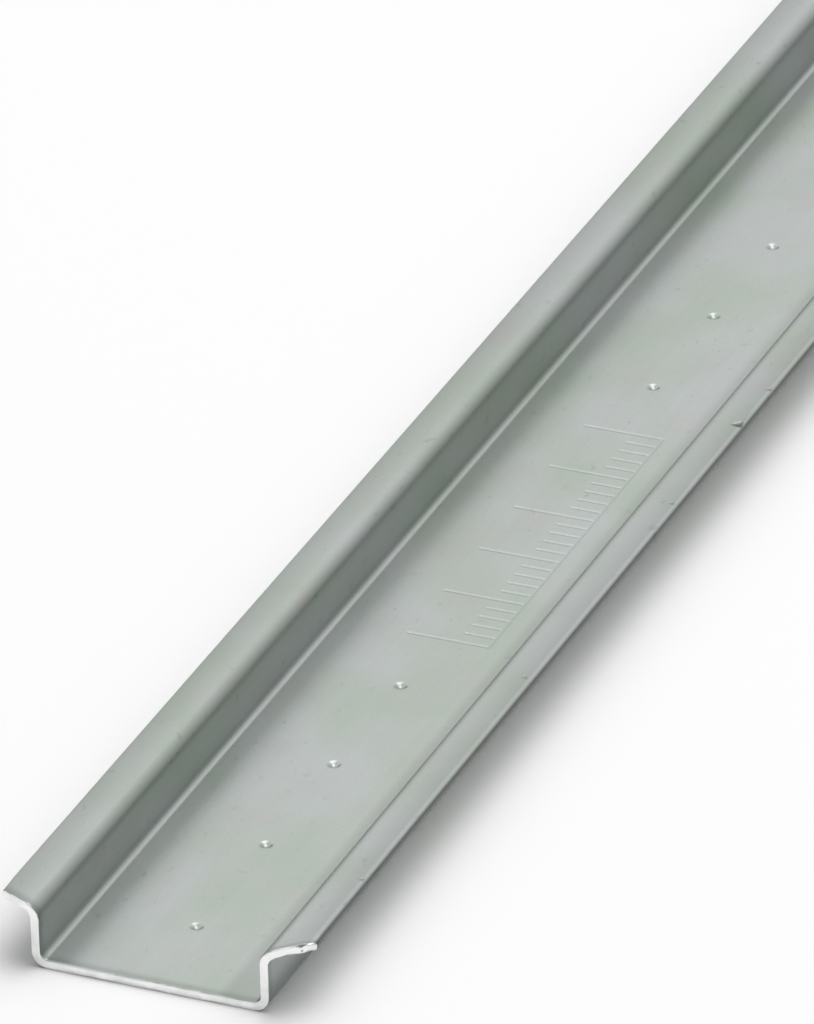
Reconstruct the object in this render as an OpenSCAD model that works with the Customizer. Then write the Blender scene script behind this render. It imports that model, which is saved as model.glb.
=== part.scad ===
// Top-hat mounting rail, 35 mm by 7.5 mm, unperforated: one piece of roll-formed steel strip.
// It lies on the back of its web. X runs across the rail, Y along it and Z up.
// The origin is on the underside of the web, at the middle of the width and of the length.

/* [Section] */
// Width over both flanges
rail_width = 35; // [32:0.5:45]
// Height from the back of the web to the top of the flanges
rail_height = 7.5; // [5.5:0.5:15]
// Clear width of the channel between the two walls
channel_width = 25; // [16:0.5:26]
// Thickness of the strip
strip_thickness = 1; // [0.8:0.1:1.5]
// Inside radius of the four bends
bend_radius = 0.8; // [0.4:0.1:1]
// Radius of the slit edges of the strip, which end the flanges
edge_radius = 0.15; // [0.05:0.05:0.3]

/* [Length] */
// Length that the rail is cut to
rail_length = 1000; // [250:10:2000]

/* [Punch marks] */
// Distance from one punch mark to the next, along the middle of the web
mark_pitch = 18; // [12:0.5:30]
// Distance of the first punch mark from the front end
first_mark = 12; // [6:0.5:18]
// Diameter of a punch mark at the face of the web
mark_diameter = 1.6; // [1:0.1:2.5]
// Depth of a punch mark
mark_depth = 0.4; // [0.2:0.05:0.5]
// Punch marks before the first field that is left free of them
marks_before_field = 4; // [1:1:8]
// Punch marks that each such field takes the place of
marks_in_field = 3; // [1:1:4]
// Pitches from one field to the next
field_every = 12; // [6:1:20]

/* [Front end] */
// How far the shear drew the left flange's corner back
left_corner_cut = 1.9; // [0.5:0.1:4]
// How far the shear drew the right flange's corner back
right_corner_cut = 3.4; // [0.5:0.1:4]

/* [Hidden] */
$fn = 96;

// A cutter passes this far through the face that it opens
overcut = 1;
outer_radius = bend_radius + strip_thickness;
wall_outside = channel_width / 2 + strip_thickness;
mark_count = floor((rail_length - 2 * first_mark) / mark_pitch) + 1;
// The sphere that leaves a dent of the wanted diameter and depth
mark_radius = (pow(mark_diameter / 2, 2) + pow(mark_depth, 2)) / (2 * mark_depth);

// One quarter of a ring in the quadrant of +X and +Y: the section of a bend about its own centre
module quarter_bend() {
    intersection() {
        difference() {
            circle(outer_radius);
            circle(bend_radius);
        }
        square(outer_radius);
    }
}

// Flat stretch of the strip as far as its slit edge, with both corners of that edge rounded
module slit_strip(run) {
    square([run - edge_radius, strip_thickness]);
    translate([0, edge_radius]) square([run, strip_thickness - 2 * edge_radius]);
    for (lift = [edge_radius, strip_thickness - edge_radius])
        translate([run - edge_radius, lift]) circle(edge_radius);
}

// Right half of the section: half the web, a bend, a wall, a bend and a flange
module half_section() {
    lower_centre = [channel_width / 2 - bend_radius, outer_radius];
    upper_centre = [channel_width / 2 + outer_radius, rail_height - outer_radius];
    square([lower_centre.x, strip_thickness]);
    translate(lower_centre) mirror([0, 1]) quarter_bend();
    translate([channel_width / 2, lower_centre.y])
        square([strip_thickness, upper_centre.y - lower_centre.y]);
    translate(upper_centre) mirror([1, 0]) quarter_bend();
    translate([upper_centre.x, rail_height - strip_thickness])
        slit_strip(rail_width / 2 - upper_centre.x);
}

// Whole section carried along Y for the rail's length
module formed_strip() {
    rotate([90, 0, 0])
        linear_extrude(rail_length, center = true) {
            half_section();
            mirror([1, 0]) half_section();
        }
}

// Is this place in the row of marks inside a field that has none?
function in_field(place) =
    place >= marks_before_field
    && (place - marks_before_field) % field_every < marks_in_field;

// Punches for the row of shallow round dents in the web's face
module mark_punches() {
    for (place = [0 : mark_count - 1])
        if (!in_field(place))
            translate([0, first_mark + place * mark_pitch - rail_length / 2,
                       strip_thickness + mark_radius - mark_depth])
                sphere(mark_radius);
}

// Wedge that takes a flange's front corner off, from nothing at the wall to corner_cut at its edge
module corner_wedge(corner_cut) {
    flange_reach = rail_width / 2 - wall_outside;
    slope = corner_cut / flange_reach;
    translate([wall_outside, -rail_length / 2, 0])
        linear_extrude(rail_height + overcut)
            polygon([[0, 0], [flange_reach + overcut, (flange_reach + overcut) * slope],
                     [flange_reach + overcut, -overcut], [0, -overcut]]);
}

module rail() {
    color([0.70, 0.72, 0.70])
        difference() {
            formed_strip();
            mark_punches();
            corner_wedge(right_corner_cut);
            mirror([1, 0, 0]) corner_wedge(left_corner_cut);
        }
}

rail();
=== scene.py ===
# %% [markdown]
# # A top-hat mounting rail in zinc-plated steel
# The rail is one strip of steel, 1 mm thick, that rolls have bent four times: a flat web, two
# walls and two flanges. This file builds its finished surface in metres, in the same frame as
# its solid model: X across the rail, Y along it and Z up, with the floor at zero.

# %% The fixed frame
import math

import bpy
import bmesh
import numpy as np
from mathutils import Matrix, Vector


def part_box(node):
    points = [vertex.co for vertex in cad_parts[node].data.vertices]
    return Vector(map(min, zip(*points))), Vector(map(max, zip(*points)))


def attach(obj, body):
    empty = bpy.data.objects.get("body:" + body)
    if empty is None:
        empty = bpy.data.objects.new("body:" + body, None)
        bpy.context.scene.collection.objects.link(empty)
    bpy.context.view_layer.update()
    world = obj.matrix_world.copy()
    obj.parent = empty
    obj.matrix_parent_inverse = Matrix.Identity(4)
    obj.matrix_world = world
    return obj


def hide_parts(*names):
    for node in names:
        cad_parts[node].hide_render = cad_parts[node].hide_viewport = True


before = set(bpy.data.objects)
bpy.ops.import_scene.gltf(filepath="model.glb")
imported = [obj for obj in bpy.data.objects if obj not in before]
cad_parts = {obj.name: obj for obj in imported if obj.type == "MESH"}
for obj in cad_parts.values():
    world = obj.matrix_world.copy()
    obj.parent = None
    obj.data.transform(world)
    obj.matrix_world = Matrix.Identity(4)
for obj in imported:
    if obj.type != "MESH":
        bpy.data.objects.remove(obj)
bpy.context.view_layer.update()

MM = 0.001
low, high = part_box("rail")
print("rail from", [round(v / MM, 2) for v in low], "to", [round(v / MM, 2) for v in high], "mm")

# %% [markdown]
# ## The section as a bent strip
# A rail could be drawn as an outline and extruded. Here it is made the way the rolls make it:
# a point of the flat strip has a place *across* the strip and a *lift* above its middle layer,
# and one formula bends that point into the section. Every surface, edge and dent of the rail
# can then be described on flat strip, where it is easy, and bent afterwards.

# %% Bending the flat strip
STRIP = 1.0 * MM
CHANNEL = 25.0 * MM
INSIDE_BEND = 0.8 * MM
QUARTER_TURN = math.pi / 2

half_width = (high.x - low.x) / 2
rail_height = high.z - low.z
rail_length = high.y - low.y
bend_middle = INSIDE_BEND + STRIP / 2
bend_run = bend_middle * QUARTER_TURN
web_end = CHANNEL / 2 - INSIDE_BEND
wall_start = web_end + bend_run
wall_run = rail_height - 2 * (INSIDE_BEND + STRIP)
upper_start = wall_start + wall_run
flange_start = upper_start + bend_run
strip_end = flange_start + half_width - CHANNEL / 2 - INSIDE_BEND - STRIP


def bend(across, lift):
    """X and Z of points of the strip, from how far across the flat strip they lie from its middle
    and how far above its middle layer.

    The turn of the strip rises from 0 to a right angle over the lower bend and falls back to 0
    over the upper one. The middle layer is the sum of what each stretch adds: the web adds its
    run to x, a bend of radius r adds r sin(turn) and r (1 - cos(turn)), the wall adds to z and
    the flange to x. The lift is then laid off square to the middle layer."""
    run = np.abs(across)
    lower = np.clip((run - web_end) / bend_middle, 0, QUARTER_TURN)
    upper = np.clip((run - upper_start) / bend_middle, 0, QUARTER_TURN)
    wall = np.clip(run - wall_start, 0, wall_run)
    flange = np.clip(run - flange_start, 0, None)
    x = np.minimum(run, web_end) + flange
    x = x + bend_middle * (np.sin(lower) + 1 - np.cos(upper))
    z = STRIP / 2 + wall + bend_middle * (1 - np.cos(lower) + np.sin(upper))
    turn = lower - upper
    return np.sign(across) * (x - lift * np.sin(turn)), z + lift * np.cos(turn)


print(f"flat strip {2 * strip_end / MM:.2f} mm wide, bent to {2 * half_width / MM:.1f} mm")

# %% [markdown]
# ## What the press leaves in the web
# A small punch dents the middle of the web at a fixed pitch, and skips three places in every
# twelve, where a plain scale is stamped instead. The dents and the scale are real geometry,
# because their slopes catch the light. A dent is a shallow bowl that runs out softly at its rim.

# %% Places of the dents and of the stamped scales
PITCH = 18.0 * MM
FIRST_DENT = 12.0 * MM
DENTS_BEFORE_FIELD = 4
FIELD_DENTS = 3
FIELD_EVERY = 12

places = np.arange(int((rail_length - 2 * FIRST_DENT) / PITCH + 1e-6) + 1)
phase = (places - DENTS_BEFORE_FIELD) % FIELD_EVERY
in_field = (places >= DENTS_BEFORE_FIELD) & (phase < FIELD_DENTS)
field_middle = (places >= DENTS_BEFORE_FIELD) & (phase == FIELD_DENTS // 2)
dent_y = low.y + FIRST_DENT + PITCH * places[~in_field]
field_y = low.y + FIRST_DENT + PITCH * places[field_middle]
print(len(dent_y), "dents,", len(field_y), "stamped scales")

# %% Shape of a dent
DENT_RADIUS = 0.92 * MM
DENT_DEPTH = 0.38 * MM


def hollow(offset, half):
    """Share of a pressed mark's depth, from the offset to its middle and its half width: half of
    one plus the cosine of pi times offset / half, and 0 beyond the half width."""
    return (1 + np.cos(np.pi * np.clip(offset / half, -1, 1))) / 2


def dent_height(distance):
    """Height of the web's face near a dent, from the distance to the dent's middle."""
    return -DENT_DEPTH * hollow(distance, DENT_RADIUS)


# %% Shape of the stamped scale
TICK_PITCH = 2.0 * MM
TICKS = 26
LONG_EVERY = 5
TICK_HALF = 0.3 * MM
TICK_GUARD = 0.4 * MM
TICK_DEPTH = 0.075 * MM
BASE_X = 5.6 * MM
SHORT_X = 2.0 * MM
LONG_X = -3.9 * MM
END_FADE = 0.4 * MM

tick_step = np.arange(TICKS) - (TICKS - 1) / 2
tick_y = (field_y[:, None] + tick_step * TICK_PITCH).ravel()
tick_end = np.tile(np.where(np.arange(TICKS) % LONG_EVERY == 0, LONG_X, SHORT_X), len(field_y))
scale_half = (TICKS - 1) / 2 * TICK_PITCH


def nearest(values, targets):
    """Index of the target nearest to each value. The targets are sorted."""
    middles = (targets[1:] + targets[:-1]) / 2
    return np.searchsorted(middles, values)


def ramp(value, start, run):
    """0 before start, 1 after start + run, and t^2 (3 - 2 t) between them."""
    t = np.clip((value - start) / run, 0, 1)
    return t * t * (3 - 2 * t)


def scale_height(x, y):
    """Height of the web's face at the stamped scale: the deeper of the nearest tick, which fades
    at its free end, and the long base line that joins the ticks."""
    tick = nearest(y, tick_y)
    free_end = ramp(x, tick_end[tick] - END_FADE / 2, END_FADE)
    ticks = hollow(y - tick_y[tick], TICK_HALF) * free_end * (x < BASE_X)
    along = np.abs(y - field_y[nearest(y, field_y)])
    base = hollow(x - BASE_X, TICK_HALF) * (1 - ramp(along, scale_half, TICK_HALF))
    return -TICK_DEPTH * np.maximum(ticks, base)


# %% [markdown]
# ## Marks of handling on the flanges
# The rail has been knocked on the right flange near its edge. Such a knock leaves a small
# three-sided pit, which is the lowest of three sloping planes, cut off at the face.

# %% Pits in the flanges
PITS = [  # across from the edge, along from the front end, size and depth, all in mm
    (0.75, 122.3, 1.15, 0.26),
    (0.55, 131.0, 0.70, 0.12),
    (0.60, 17.0, 0.60, 0.10),
    (1.10, 62.0, 0.60, 0.09),
    (0.90, 103.0, 0.60, 0.10),
]
PIT_TURNS = np.radians([20, 140, 260])
PIT_POWER = 0.8


def pit_height(across, y):
    """Height of the right flange's face at its pits. Each is a pyramid on three planes that face
    thirds of a turn apart: depth times a power of the share by which the point lies inside the
    nearest plane."""
    height = np.zeros(np.broadcast(across, y).shape)
    for inset, along, size, depth in PITS:
        a = (across - (strip_end - inset * MM)) / (size * MM)
        b = (y - (low.y + along * MM)) / (size * MM)
        inside = 1 - 2 * np.max([a * np.cos(t) + b * np.sin(t) for t in PIT_TURNS], axis=0)
        height = height - depth * MM * np.clip(inside, 0, 1) ** PIT_POWER
    return height


# %% [markdown]
# ## The sheared ends
# A shear cuts the rail to length. It rolls the top edge over, breaks the rest of the thickness
# with a rough face, and on the front end it drew both flange corners back. These are small
# terms that are added to a point of the strip before and after it is bent.

# %% Shape of the ends and edges
EDGE_ROUND = 0.35 * MM
ROLL_RUN = 0.34 * MM
ROLL_DEPTH = 0.16 * MM
BURR_RUN = 0.08 * MM
LEFT_CUT = 1.9 * MM
RIGHT_CUT = 3.4 * MM
CUT_RUN = 7.0 * MM
ROUGHNESS_OF_BREAK = 0.10 * MM
TORN_CORNER = 0.55 * MM
BREAK_RUN = 1.8 * MM
DROOP = 0.12 * MM
DROOP_RUN = 0.6 * CUT_RUN
GRAIN_SIZE = 0.35 * MM
TEAR_SIZE = 0.8 * MM

wall_outside = CHANNEL / 2 + STRIP
flange_reach = half_width - wall_outside


def lattice_noise(a, b, seed):
    """Smooth noise from 0 to 1 over the plane of a and b, with one value for each whole step of
    either, blended by t^2 (3 - 2 t) between them."""
    lattice = np.random.default_rng(seed).random((64, 64))
    column = np.floor(a).astype(int)
    row = np.floor(b).astype(int)
    s = ramp(a - column, 0, 1)
    t = ramp(b - row, 0, 1)
    near = lattice[column % 64, row % 64] * (1 - s) + lattice[(column + 1) % 64, row % 64] * s
    far = (lattice[column % 64, (row + 1) % 64] * (1 - s)
           + lattice[(column + 1) % 64, (row + 1) % 64] * s)
    return near * (1 - t) + far * t


def quarter_round(gap, run, depth):
    """Depth of an edge rounded over a run, from the gap to the edge: a quarter of an ellipse."""
    share = np.clip(1 - gap / run, 0, 1)
    return depth * (1 - np.sqrt(1 - share ** 2))


def rail_point(across, share, along):
    """Points of the finished rail. across is the place on the flat strip, share runs from -1 on
    the underside to 1 on the top face, and along is the distance from the front end.

    The two faces stand half the strip apart from the middle layer, less what the edges and ends
    are rounded by. The dents, the scale and the pits lower the top face. After the bend, the
    corners go back by a share of the cut that grows over the flange, the torn ends go back by
    noise, and the flange's end droops."""
    y = low.y + along
    gap = np.minimum(along, rail_length - along)
    rounding = quarter_round(strip_end - np.abs(across), EDGE_ROUND, EDGE_ROUND)
    face = STRIP / 2 - rounding
    top = face - quarter_round(gap, ROLL_RUN, ROLL_DEPTH)
    bottom = -face + quarter_round(gap, BURR_RUN, BURR_RUN)
    relief = dent_height(np.hypot(across, y - dent_y[nearest(y, dent_y)]))
    relief = relief + scale_height(across, y) + pit_height(across, y)
    lift = bottom + (top - bottom) * (share + 1) / 2 + np.where(share == 1, relief, 0)
    x, z = bend(across, lift)
    corner = np.clip((np.abs(x) - wall_outside) / flange_reach, 0, 1)
    cut = np.where(x < 0, LEFT_CUT, RIGHT_CUT) * corner * (1 - ramp(along, 0, CUT_RUN))
    grain = lattice_noise(across / GRAIN_SIZE + 90, share * 1.6 + 9, 3)
    torn = lattice_noise(across / TEAR_SIZE + 90, share * 0.9 + 5, 5) * corner * (x > 0)
    broken = (ROUGHNESS_OF_BREAK * grain + TORN_CORNER * torn) * (1 - ramp(gap, 0, BREAK_RUN))
    inward = np.where(along < rail_length / 2, 1, -1)
    z = z - DROOP * corner ** 2 * (1 - ramp(along, 0, DROOP_RUN))
    return np.stack(np.broadcast_arrays(x, y + cut + inward * broken, z), axis=-1)


# %% [markdown]
# ## Where the surface needs its points
# Columns run along the rail and stations cross it. The bends need columns, the ends need
# stations, and the middle band of the web needs both, at each dent and tick. Only that band has
# the close stations: a zip of triangles joins it to the rest, so that the faces stay few.

# %% Columns across the strip
BEND_STEPS = 8
DENT_CELLS = 6
DENT_PATCH = 1.2 * MM


def around(middle, half, count):
    """Evenly spaced values from middle - half to middle + half."""
    return middle + np.linspace(-half, half, count)


band = np.sort(np.concatenate([
    [-4.9 * MM, -2.5 * MM, 3.8 * MM, 6.5 * MM],
    around(LONG_X, END_FADE / 2, 4),
    [LONG_X - TICK_GUARD, LONG_X + TICK_GUARD, SHORT_X - TICK_GUARD, SHORT_X + TICK_GUARD],
    around(SHORT_X, END_FADE / 2, 4),
    around(0, DENT_PATCH, DENT_CELLS + 1),
    around(BASE_X, TICK_HALF, 7),
    [BASE_X - TICK_GUARD, BASE_X + TICK_GUARD],
]))
right_rest = np.concatenate([
    [8.2 * MM, 10.0 * MM],
    np.linspace(web_end, wall_start, BEND_STEPS + 1),
    np.linspace(wall_start, upper_start, 4)[1:-1],
    np.linspace(upper_start, flange_start, BEND_STEPS + 1),
    np.linspace(flange_start, strip_end - 1.7 * MM, 3)[1:],
    strip_end - np.linspace(1.5, 0.5, 8) * MM,
    strip_end - EDGE_ROUND * (1 - np.sin(np.radians([0, 25, 50, 70, 90]))),
])
left_rest = -right_rest[::-1]
columns = np.concatenate([left_rest, band, right_rest])
first_band = len(left_rest)
last_band = first_band + len(band) - 1
print(len(columns), "columns,", len(band), "of them in the band")

# %% Stations along the rail
END_STATIONS = np.array([
    0, 0.02, 0.05, 0.1, 0.16, 0.24, 0.34, 0.6, 1.0, 1.5, 2.1, 2.8, 3.6, 4.6, 5.8, 7.0])
coarse = np.concatenate([
    END_STATIONS * MM,
    np.arange(9, rail_length / MM - 8, 9) * MM,
    rail_length - END_STATIONS * MM,
    *[around(along * MM, 0.75 * size * MM, 9) for inset, along, size, depth in PITS],
])
coarse = np.unique(np.round(coarse, 6))
fine = np.concatenate([
    coarse,
    (dent_y - low.y + around(0, DENT_PATCH, DENT_CELLS + 1)[:, None]).ravel(),
    (tick_y - low.y + around(0, TICK_HALF, 7)[:, None]).ravel(),
    (tick_y - low.y + np.array([-TICK_GUARD, TICK_GUARD])[:, None]).ravel(),
])
fine = np.unique(np.round(fine, 6))
print(len(coarse), "stations on the whole rail,", len(fine), "in the band")

# %% [markdown]
# ## Putting the surface together
# The mesh is five kinds of patch: the shell, the band, the zips beside it, a round patch in each
# dent's square, and the two ends. Each is a grid of points from the same formula, so that their
# borders fall on each other and one weld closes the whole skin.

# %% Patches of a grid
patches = []


def add_patch(points, faces):
    """Keeps a patch: points as an array of places, faces as rows of indices into it."""
    patches.append((points.reshape(-1, 3), np.asarray(faces)))


def grid_cells(rows, across):
    """Corner indices of each cell of a grid, as an array of rows by columns by four."""
    corner = np.arange((rows - 1) * across).reshape(rows - 1, across)[:, :-1]
    return np.stack([corner, corner + 1, corner + across + 1, corner + across], axis=-1)


# %% The shell, from face to face round both edges
EDGE_SHARES = np.linspace(1, -1, 7)

top = np.stack([columns, np.ones(len(columns))])
right_edge = np.stack([np.full(5, strip_end), EDGE_SHARES[1:-1]])
bottom = np.stack([columns[::-1], -np.ones(len(columns))])
left_edge = np.stack([np.full(5, -strip_end), EDGE_SHARES[-2:0:-1]])
ring = np.concatenate([top, right_edge, bottom, left_edge, top[:, :1]], axis=1)
shell = rail_point(ring[0], ring[1], coarse[:, None])
cells = grid_cells(len(coarse), ring.shape[1])
place = np.arange(ring.shape[1] - 1)
outside_band = (place < first_band - 1) | (place > last_band)
add_patch(shell, cells[:, outside_band].reshape(-1, 4))
print("shell:", len(patches[-1][1]), "faces")

# %% The band, without the squares of the dents
band_points = rail_point(band, 1, fine[:, None])
cells = grid_cells(len(fine), len(band))
mid_x = (band[1:] + band[:-1]) / 2
mid_y = low.y + (fine[1:] + fine[:-1]) / 2
in_square = ((np.abs(mid_x) < DENT_PATCH)
             & (np.abs(mid_y - dent_y[nearest(mid_y, dent_y)]) < DENT_PATCH)[:, None])
add_patch(band_points, cells[~in_square])
print("band:", len(patches[-1][1]), "faces")


# %% The zips between close and wide stations
def zip_faces(close, wide):
    """Triangles between two lines of points, the close ones first in the numbering. Each close
    step joins the nearest wide point, and each wide step joins the close point where that
    nearest one changes."""
    steps = (close[1:] + close[:-1]) / 2
    owner = nearest(steps, wide)
    first = np.arange(len(steps))
    close_faces = np.stack([first, first + 1, len(close) + owner], axis=-1)
    before = np.concatenate([[0], owner])
    after = np.concatenate([owner, [len(wide) - 1]])
    change = np.flatnonzero(after > before)
    wide_after = len(close) + after[change]
    wide_before = len(close) + before[change]
    wide_faces = np.stack([change, wide_after, wide_before], axis=-1)
    assert np.all(after - before <= 1)
    return np.concatenate([close_faces, wide_faces])


for edge, neighbour, flip in ((0, first_band - 1, False), (-1, last_band + 1, True)):
    points = np.concatenate([
        rail_point(band[edge], 1, fine),
        rail_point(columns[neighbour], 1, coarse),
    ])
    faces = zip_faces(fine, coarse)
    add_patch(points, faces[:, ::-1] if flip else faces)
print("zips:", sum(len(faces) for points, faces in patches[-2:]), "faces")

# %% A round patch in each dent's square
RING_RADII = np.linspace(0.1, 1.0, 10) * DENT_RADIUS

side = np.arange(-DENT_CELLS // 2, DENT_CELLS // 2)
flat = np.full(DENT_CELLS, DENT_CELLS // 2)
square = np.stack([
    np.concatenate([side, flat, -side, -flat]),
    np.concatenate([-flat, side, flat, -side]),
]) * 2 * DENT_PATCH / DENT_CELLS
spokes = square.shape[1]
direction = square / np.hypot(*square)
rings = np.concatenate([direction[:, None] * RING_RADII[:, None], square[:, None]], axis=1)
rings = np.concatenate([rings, rings[:, :, :1]], axis=2)
dent_points = rail_point(rings[0], 1, rings[1] + (dent_y - low.y)[:, None, None])
middles = rail_point(0 * dent_y, 1, dent_y - low.y)
ring_cells = grid_cells(len(RING_RADII) + 1, spokes + 1).reshape(-1, 4)[:, ::-1]
ring_count = rings.shape[1] * rings.shape[2]
fan = np.arange(spokes)
fan = np.stack([np.full(spokes, ring_count), fan, fan + 1], axis=-1)
start = np.arange(len(dent_y))[:, None, None]
all_points = np.concatenate([dent_points.reshape(len(dent_y), -1, 3), middles[:, None]], axis=1)
add_patch(all_points, (ring_cells + start * (ring_count + 1)).reshape(-1, 4))
add_patch(all_points, (fan + start * (ring_count + 1)).reshape(-1, 3))
print("dents:", sum(len(faces) for points, faces in patches[-2:]), "faces")

# %% The two sheared ends
for along, flip in ((0.0, False), (rail_length, True)):
    faces = grid_cells(len(EDGE_SHARES), len(columns)).reshape(-1, 4)
    points = rail_point(columns, EDGE_SHARES[:, None], np.full((1, 1), along))
    add_patch(points, faces if flip else faces[:, ::-1])

# %% One welded mesh
WELD = 0.001 * MM


def welded_mesh(name):
    """One mesh of every kept patch, with the points of their shared borders merged."""
    starts = np.cumsum([0] + [len(points) for points, faces in patches[:-1]])
    faces = []
    for (points, rows), start in zip(patches, starts):
        faces.extend((rows + start).tolist())
    mesh = bpy.data.meshes.new(name)
    mesh.from_pydata(np.concatenate([points for points, rows in patches]), [], faces)
    work = bmesh.new()
    work.from_mesh(mesh)
    bmesh.ops.remove_doubles(work, verts=work.verts, dist=WELD)
    loose = [v for v in work.verts if not v.link_faces]
    bmesh.ops.delete(work, geom=loose, context="VERTS")
    open_edges = sum(not e.is_manifold or not e.is_contiguous for e in work.edges)
    print(f"{name}: {len(work.faces)} faces, {open_edges} open or turned edges,",
          f"volume {work.calc_volume(signed=True) / MM ** 3:.0f} mm3")
    work.to_mesh(mesh)
    work.free()
    return mesh


rail_mesh = welded_mesh("rail_surface")
triangles = sum(len(p.vertices) - 2 for p in rail_mesh.polygons)
print(triangles, "triangles")

# %% The rail's object
BREAK_ANGLE = 38

rail_mesh.shade_smooth()
rail_mesh.set_sharp_from_angle(angle=math.radians(BREAK_ANGLE))
rail = bpy.data.objects.new("zinc_rail", rail_mesh)
bpy.context.scene.collection.objects.link(rail)
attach(rail, "root")
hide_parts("rail")

# %% [markdown]
# ## Where the steel was cut
# The sheared ends are bare steel, set near white, partly as a painted reflection of the bright
# floor they face. The slit edges and the knocks get a painted shade, and so does the plate where
# the shear has rolled it over. The mesh knows where each of these is, so three numbers on each
# point carry them to the material: each is 1 where its kind of work was done, and 0 elsewhere.

# %% Three numbers on each point for the worked steel
END_FACE = 0.02 * MM
SLIT_START = 0.12 * MM
SLIT_RUN = 0.10 * MM
PIT_SHADE_DEPTH = 0.15 * MM
ROLLED_START = 0.4 * MM
ROLLED_RUN = 1.0 * MM

places_flat = np.empty(len(rail_mesh.vertices) * 3)
rail_mesh.vertices.foreach_get("co", places_flat)
px, py, pz = places_flat.reshape(-1, 3).T
corner_share = np.clip((np.abs(px) - wall_outside) / flange_reach, 0, 1)
corner_back = np.where(px < 0, LEFT_CUT, RIGHT_CUT) * corner_share
torn_reach = 1.1 * ROUGHNESS_OF_BREAK + TORN_CORNER / 2 * corner_share * (px > 0)
front_cut = (py - low.y - corner_back) < torn_reach
back_cut = (high.y - py) < END_FACE
cut_share = np.maximum(front_cut, back_cut).astype(np.float32)
# painted shade on the slit edges, and in the knocks by their depth
slit_and_pit_shade = ramp(np.abs(px), half_width - SLIT_START, SLIT_RUN) * (1 - cut_share)
pit_depth = -pit_height(px - half_width + strip_end, py) * (pz > rail_height - STRIP / 2)
slit_and_pit_shade = np.maximum(slit_and_pit_shade, np.clip(pit_depth / PIT_SHADE_DEPTH, 0, 1)).astype(np.float32)
# painted shade on the plate where the shear rolled it over
from_shear = np.minimum(py - low.y - corner_back, high.y - py)
rollover_shade_share = (1 - ramp(from_shear, ROLLED_START, ROLLED_RUN)).astype(np.float32)
shares = {"cut_steel": cut_share, "painted_edge_shade": slit_and_pit_shade, "painted_rollover_shade": rollover_shade_share}
for name, share in shares.items():
    rail_mesh.attributes.new(name, "FLOAT", "POINT").data.foreach_set("value", share)
    print(f"{name}: {(share > 0.5).mean():.1%} of the points")

# %% [markdown]
# ## Writing a material as sums
# A material is a graph of nodes, but most of it is plain arithmetic. The class below wraps a
# node's socket, so that a sum in Python adds the Math nodes that do the same on the surface.

# %% Arithmetic on sockets
class Value:
    """A number on the surface. A sum of values is a value, and adds a Math node."""

    def __init__(self, nodes, socket):
        self.nodes = nodes
        self.socket = socket

    def math(self, operation, first, second):
        return self.nodes.add("ShaderNodeMath", {"operation": operation}, {0: first, 1: second})

    def __add__(self, other):
        return self.math("ADD", self, other)

    def __radd__(self, other):
        return self.math("ADD", other, self)

    def __sub__(self, other):
        return self.math("SUBTRACT", self, other)

    def __rsub__(self, other):
        return self.math("SUBTRACT", other, self)

    def __mul__(self, other):
        return self.math("MULTIPLY", self, other)

    def __rmul__(self, other):
        return self.math("MULTIPLY", other, self)

    def clipped(self, low_end, high_end):
        """0 at low_end, 1 at high_end, and held at both beyond them."""
        ends = {"Value": self, "From Min": low_end, "From Max": high_end}
        return self.nodes.add("ShaderNodeMapRange", {"clamp": True}, ends)


class Nodes:
    """Adds nodes to one material or world."""

    def __init__(self, owner):
        owner.use_nodes = True
        self.tree = owner.node_tree
        self.tree.nodes.clear()

    def add(self, kind, settings=(), inputs=(), output=0):
        """Adds a node: its settings first, then its sockets' values or links. Gives one output."""
        node = self.tree.nodes.new(kind)
        for name, setting in dict(settings).items():
            setattr(node, name, setting)
        for name, given in dict(inputs).items():
            if isinstance(given, Value):
                self.tree.links.new(given.socket, node.inputs[name])
            else:
                node.inputs[name].default_value = given
        return Value(self, node.outputs[output]) if len(node.outputs) else None

    def noise(self, place, stretch, detail=2.0, rough=0.5):
        """Smooth noise around 0.5. stretch is how many waves it has in a metre along X, Y and Z."""
        scaled = self.add("ShaderNodeMapping", {}, {"Vector": place, "Scale": stretch})
        sockets = {"Vector": scaled, "Scale": 1.0, "Detail": detail, "Roughness": rough}
        return self.add("ShaderNodeTexNoise", {"noise_dimensions": "3D"}, sockets)

    def blend(self, share, first, second):
        """The first colour where share is 0, and the second where it is 1."""
        mix = {"data_type": "RGBA", "clamp_factor": True}
        return self.add("ShaderNodeMix", mix, {0: share, 6: first, 7: second}, 2)


def linear(red, green, blue):
    """A colour given on the 0 to 255 scale of a screen, as the linear colour that shaders use."""
    screen = np.array([red, green, blue]) / 255
    light = np.where(screen <= 0.04045, screen / 12.92, ((screen + 0.055) / 1.055) ** 2.4)
    return (*light.tolist(), 1.0)
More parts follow.
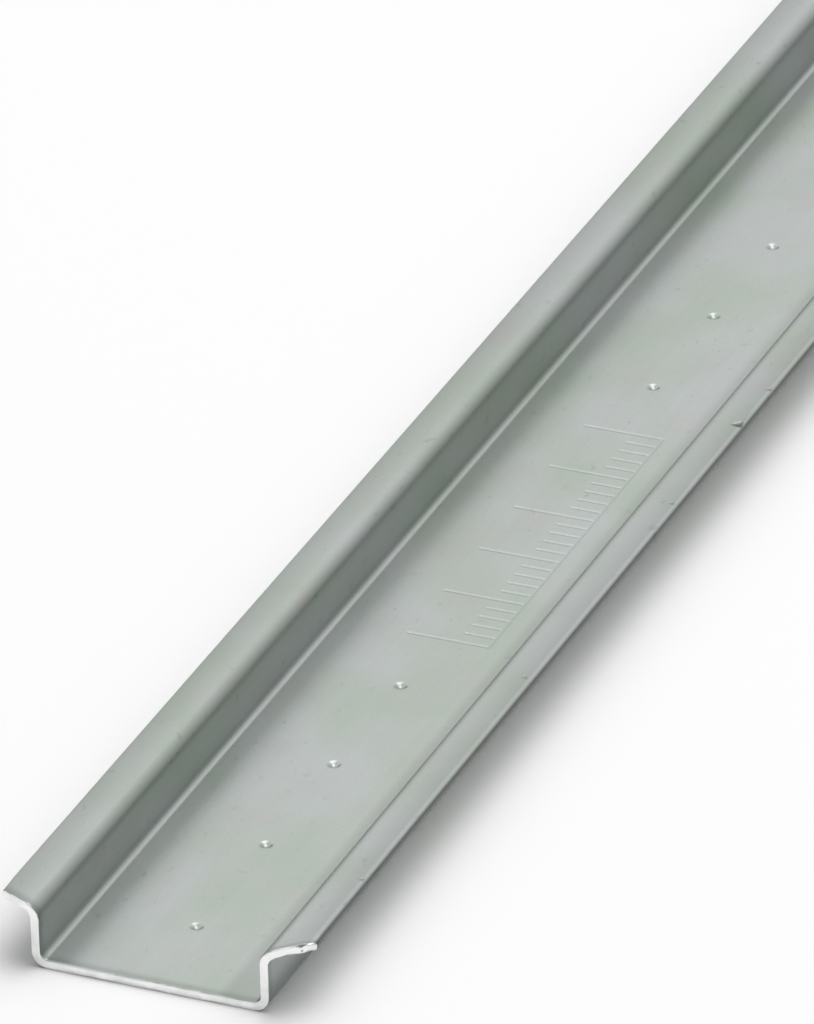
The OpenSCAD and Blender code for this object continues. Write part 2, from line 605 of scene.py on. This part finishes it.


# %% [markdown]
# ## Zinc plate
# Plated and passivated zinc is a satin metal. Its colour drifts between a neutral and a faintly
# green grey over a centimetre or two, the rolls leave fine lines along the rail, and the crystal
# of the zinc gives a very fine grain. A flat metal shader would look like plastic film, so the
# colour, the roughness and the bump each get their own share of these.
#
# Five shares of the shade are painted, over whatever relief there is: the flanges get duller
# outward, the slit edges and the knocks get a painted shade, a painted highlight runs along the
# right flange's rim, a painted shadow darkens the web beside the right wall, and a painted shade
# darkens the plate where the shear rolled it over.

# %% The zinc plate material
ZINC = linear(179, 184, 182)
ZINC_GREEN = linear(171, 180, 171)
ZINC_WARM = linear(178, 178, 176)
# bare sheared steel, set near white partly as a painted reflection of the bright floor
CUT_BRIGHT = linear(247, 248, 247)
CUT_DULL = linear(232, 234, 233)
DULL_START = 13.0 * MM
FLANGE_DULL = 0.28
# strength of the painted shade on the slit edges and in the knocks
EDGE_SHADE_DEPTH = 0.65
# strength of the painted shade where the shear rolled the plate over
ROLLOVER_SHADE_DEPTH = 0.24
# a painted highlight along the right flange's rim
RIM_START = 16.75 * MM
RIM_END = 17.15 * MM
RIM_RUN = 0.15 * MM
RIM_HIGHLIGHT = 0.17
# a painted shadow on the web beside the right wall
WALL_SHADE_START = 7.3 * MM
WALL_SHADE_RUN = 1.2 * MM
WALL_SHADE_TOP = 2.0 * MM
WALL_SHADE_DEPTH = 0.16
GRAIN_SHADE = 0.10
ROLLED_SHADE = 0.08
SPECK_SHADE = 0.16
SATIN = 0.34
BUMP_STRENGTH = 0.25
BUMP_DISTANCE = 0.02 * MM
TINT_WAVES = (70, 45, 70)
CLOUD_WAVES = (160, 110, 160)
GRAIN_WAVES = (2600, 2600, 2600)
ROLLED_WAVES = (2400, 9, 2400)
SPECK_WAVES = (900, 520, 900)
CUT_WAVES = (420, 420, 420)

zinc = bpy.data.materials.new("zinc_plate")
nodes = Nodes(zinc)
place = nodes.add("ShaderNodeTexCoord", {}, {}, 3)
patches_of_tint = nodes.noise(place, TINT_WAVES, 2.0)
clouds = nodes.noise(place, CLOUD_WAVES, 3.0)
grain = nodes.noise(place, GRAIN_WAVES, 2.0)
rolled = nodes.noise(place, ROLLED_WAVES, 3.0, 0.6)
specks = nodes.noise(place, SPECK_WAVES, 2.0)
cut = nodes.add("ShaderNodeAttribute", {"attribute_name": "cut_steel"}, {}, 2)
# painted shade on the slit edges and in the knocks
slit = nodes.add("ShaderNodeAttribute", {"attribute_name": "painted_edge_shade"}, {}, 2)
painted_rollover_shade = nodes.add("ShaderNodeAttribute", {"attribute_name": "painted_rollover_shade"}, {}, 2)
x = nodes.add("ShaderNodeSeparateXYZ", {}, {"Vector": place}, 0)
z = nodes.add("ShaderNodeSeparateXYZ", {}, {"Vector": place}, 2)
outward = (x * x).clipped(DULL_START ** 2, half_width ** 2)
# painted highlight along the right flange's rim
painted_rim_highlight = x.clipped(RIM_START, RIM_START + RIM_RUN) * (1.0 - x.clipped(RIM_END, RIM_END + RIM_RUN))
# painted shadow on the web beside the right wall, fading out above the web
painted_wall_shade = x.clipped(WALL_SHADE_START, WALL_SHADE_START + WALL_SHADE_RUN) * (1.0 - z.clipped(WALL_SHADE_TOP, 2 * WALL_SHADE_TOP))

tint = nodes.blend(patches_of_tint.clipped(0.42, 0.62), ZINC, ZINC_GREEN)
tint = nodes.blend(clouds.clipped(0.52, 0.74) * 0.7, tint, ZINC_WARM)
shade = 1.0 + (grain - 0.5) * GRAIN_SHADE + (rolled - 0.5) * ROLLED_SHADE
shade = shade - specks.clipped(0.66, 0.78) * SPECK_SHADE
# the flanges get duller outward, and the slit edges and knocks get their painted shade
shade = shade * (1.0 - outward * FLANGE_DULL) * (1.0 - slit * EDGE_SHADE_DEPTH)
# painted highlight on the right flange's rim, painted shadow on the web beside the right wall
shade = shade * (1.0 + painted_rim_highlight * RIM_HIGHLIGHT) * (1.0 - painted_wall_shade * WALL_SHADE_DEPTH)
# painted shade on the plate where the shear rolled it over
shade = shade * (1.0 - painted_rollover_shade * ROLLOVER_SHADE_DEPTH)
plated = nodes.add("ShaderNodeVectorMath", {"operation": "SCALE"}, {0: tint, "Scale": shade})
cut_marks = nodes.noise(place, CUT_WAVES, 2.0)
# bare steel on the sheared ends, with a painted reflection of the floor in its brightness
bare_steel_and_sheen = nodes.blend(cut_marks.clipped(0.35, 0.6), CUT_DULL, CUT_BRIGHT)
colour = nodes.blend(cut, plated, bare_steel_and_sheen)
roughness = SATIN + (clouds - 0.5) * 0.10 + (grain - 0.5) * 0.06 - cut * 0.04
height = (grain - 0.5) * 0.6 + (rolled - 0.5) * 0.8
relief = nodes.add("ShaderNodeBump", {}, {
    "Strength": BUMP_STRENGTH, "Distance": BUMP_DISTANCE, "Height": height})
surface = nodes.add("ShaderNodeBsdfPrincipled", {}, {
    "Base Color": colour, "Metallic": 1.0, "Roughness": roughness, "Normal": relief})
nodes.add("ShaderNodeOutputMaterial", {}, {"Surface": surface})
rail_mesh.materials.append(zinc)

# %% [markdown]
# ## Floor, light and camera
# The rail lies on a white floor in a light tent: most of the light comes from above and behind,
# from a wide part of the tent, so the shadow stays soft. What the metal mirrors is set apart
# from that: the tent is brightest to the left and behind, and dims towards the horizon.

# %% The floor
FLOOR_HALF = 3.0
FLOOR_WHITE = 0.98
FLOOR_LIFT = 0.03

floor_mesh = bpy.data.meshes.new("floor")
corners = [(-FLOOR_HALF, -FLOOR_HALF, 0), (FLOOR_HALF, -FLOOR_HALF, 0),
           (FLOOR_HALF, FLOOR_HALF, 0), (-FLOOR_HALF, FLOOR_HALF, 0)]
floor_mesh.from_pydata(corners, [], [(0, 1, 2, 3)])
floor = bpy.data.objects.new("floor", floor_mesh)
bpy.context.scene.collection.objects.link(floor)


def background_seen(nodes):
    """1 for rays from the camera and for those that metal or glass sends, and 0 for the rest."""
    path = "ShaderNodeLightPath"
    camera_ray = nodes.add(path, {}, {}, "Is Camera Ray")
    return (camera_ray + nodes.add(path, {}, {}, "Is Glossy Ray")
            + nodes.add(path, {}, {}, "Is Transmission Ray"))


white = bpy.data.materials.new("white_floor")
nodes = Nodes(white)
lift = background_seen(nodes) * FLOOR_LIFT
surface = nodes.add("ShaderNodeBsdfPrincipled", {}, {
    "Base Color": (FLOOR_WHITE, FLOOR_WHITE, FLOOR_WHITE, 1), "Roughness": 0.9,
    "Specular IOR Level": 0.0, "Emission Color": (1, 1, 1, 1), "Emission Strength": lift})
nodes.add("ShaderNodeOutputMaterial", {}, {"Surface": surface})
floor_mesh.materials.append(white)

# %% The light tent
ZENITH_LIGHT = 1.64
SKIRT_LIGHT = 0.10
ZENITH = Vector((0.12, 0.65, 1.0)).normalized()
TENT_BRIGHT = 1.18
TENT_DIM = 0.71
HORIZON_DIM = 0.50
BRIGHT_SIDE = Vector((-0.70, 0.60, 0.20)).normalized()

world = bpy.data.worlds.new("light_tent")
bpy.context.scene.world = world
nodes = Nodes(world)
way = nodes.add("ShaderNodeTexCoord", {}, {}, "Generated")
towards = nodes.add("ShaderNodeVectorMath", {"operation": "DOT_PRODUCT"},
                    {0: way, 1: BRIGHT_SIDE}, "Value")
height = nodes.add("ShaderNodeSeparateXYZ", {}, {"Vector": way}, "Z")
gradient = TENT_DIM + (TENT_BRIGHT - TENT_DIM) * towards.clipped(0.1, 0.95)
gradient = gradient * (1 - HORIZON_DIM * (1 - height.clipped(0.0, 0.48)))
camera_ray = nodes.add("ShaderNodeLightPath", {}, {}, "Is Camera Ray")
mirror_ray = background_seen(nodes) - camera_ray
upward = nodes.add("ShaderNodeVectorMath", {"operation": "DOT_PRODUCT"},
                   {0: way, 1: ZENITH}, "Value")
soft = SKIRT_LIGHT + (ZENITH_LIGHT - SKIRT_LIGHT) * upward.clipped(0.45, 0.92)
strength = camera_ray + mirror_ray * gradient + (1 - camera_ray - mirror_ray) * soft
sky = nodes.add("ShaderNodeBackground", {}, {"Color": (1, 1, 1, 1), "Strength": strength})
nodes.add("ShaderNodeOutputWorld", {}, {"Surface": sky})

# %% The soft box
BOX_SIZE = 1.5
BOX_DISTANCE = 2.0
BOX_POWER = 10.0
BOX_FROM = Vector((0.08, 0.24, 1.0)).normalized()

FOCUS = Vector((-15.3 * MM, low.y + 103.3 * MM, 0))
lamp = bpy.data.lights.new("soft_box", "AREA")
lamp.shape = "DISK"
lamp.size = BOX_SIZE
lamp.energy = BOX_POWER
soft_box = bpy.data.objects.new("soft_box", lamp)
soft_box.location = FOCUS + BOX_FROM * BOX_DISTANCE
soft_box.rotation_euler = BOX_FROM.to_track_quat("Z", "Y").to_euler()
bpy.context.scene.collection.objects.link(soft_box)

# %% The camera
AZIMUTH = math.radians(-24.05)
ELEVATION = math.radians(29.04)
ROLL = math.radians(-1.69)
DISTANCE = 1.4227
LENS = 452.0

ahead = Vector((math.sin(AZIMUTH) * math.cos(ELEVATION),
                math.cos(AZIMUTH) * math.cos(ELEVATION), -math.sin(ELEVATION)))
level_right = Vector((math.cos(AZIMUTH), -math.sin(AZIMUTH), 0))
level_up = level_right.cross(ahead)
right = math.cos(ROLL) * level_right + math.sin(ROLL) * level_up
up = math.cos(ROLL) * level_up - math.sin(ROLL) * level_right
turn = Matrix((right, up, -ahead)).transposed().to_4x4()

lens = bpy.data.cameras.new("camera")
lens.lens = LENS
lens.sensor_width = 36.0
lens.clip_start = 0.05
lens.clip_end = 20.0
camera = bpy.data.objects.new("camera", lens)
camera.matrix_world = Matrix.Translation(FOCUS - ahead * DISTANCE) @ turn
bpy.context.scene.collection.objects.link(camera)
bpy.context.scene.camera = camera
bpy.context.scene.view_settings.view_transform = "Standard"
